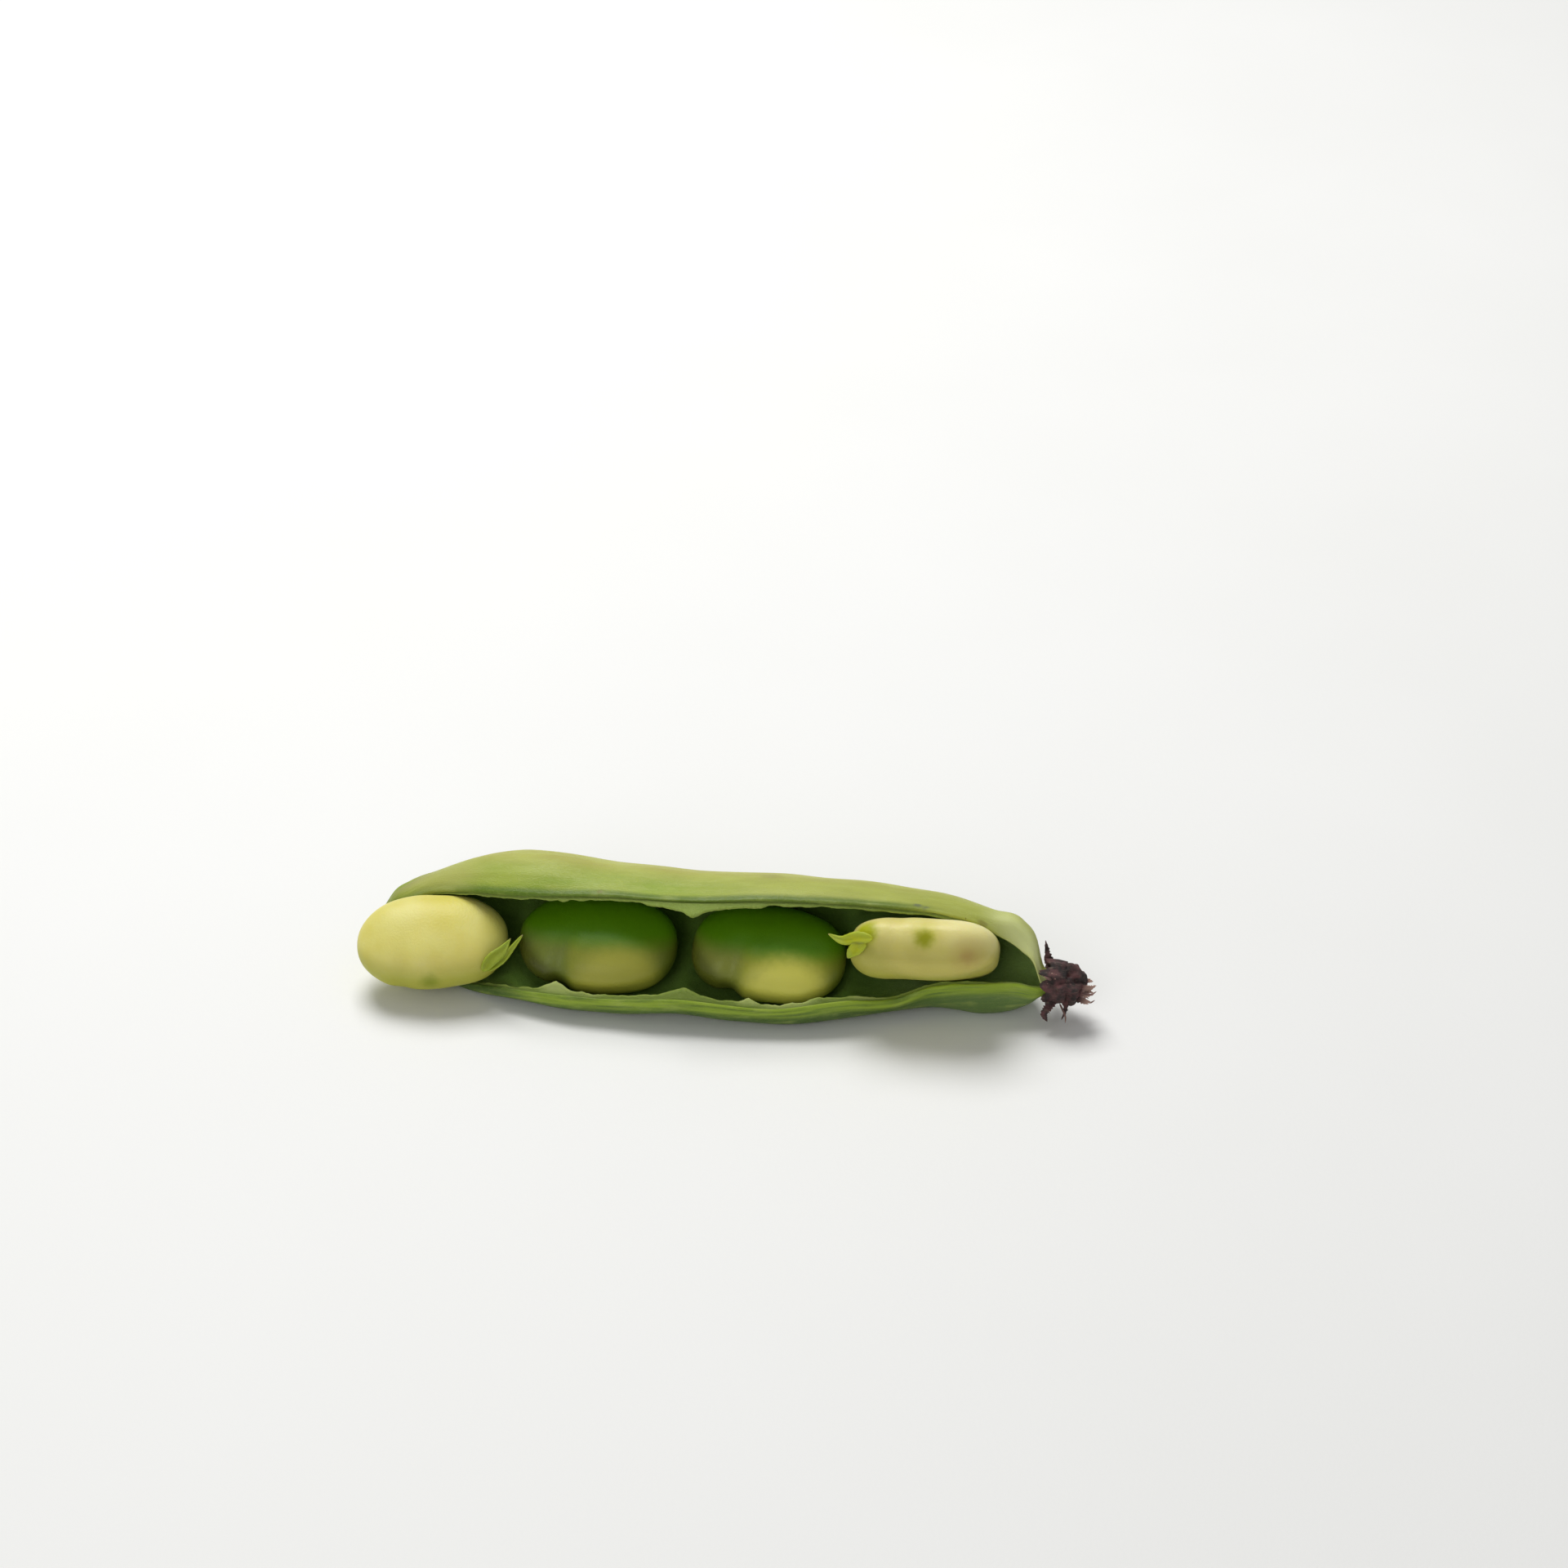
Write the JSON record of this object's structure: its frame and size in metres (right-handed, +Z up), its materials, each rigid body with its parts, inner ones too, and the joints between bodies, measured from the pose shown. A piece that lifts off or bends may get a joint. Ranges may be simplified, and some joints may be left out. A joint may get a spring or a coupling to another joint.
{
  "type": "broad bean pod",
  "caption": "Ripe broad bean pod split open along its front seam, with its large seeds and seed stalks in place and a withered calyx at the stalk end",
  "frame": {"origin": "middle of the whole object's footprint, on the surface it lies on", "axes": "+X along the pod from its beak to its stalk end, mouth towards -Y, back seam towards +Y, +Z up"},
  "size_m": [0.1296, 0.029, 0.0212],
  "materials": {
    "pod": "waxy green pod skin outside with a paler fleecy lining inside",
    "calyx": "dry withered brown-purple tissue",
    "bean_1": "satin pale cream-green seed coat",
    "bean_2": "satin green seed coat",
    "bean_3": "satin green seed coat",
    "bean_4": "satin pale cream seed coat",
    "funicle_1": "soft moist yellow-green stalk",
    "funicle_4": "soft moist yellow-green stalk"
  },
  "bodies": {
    "root": {"pod": "pod", "calyx": "calyx", "bean_1": "bean_1", "bean_2": "bean_2", "bean_3": "bean_3", "bean_4": "bean_4", "funicle_1": "funicle_1", "funicle_4": "funicle_4"}
  },
  "joints": []
}
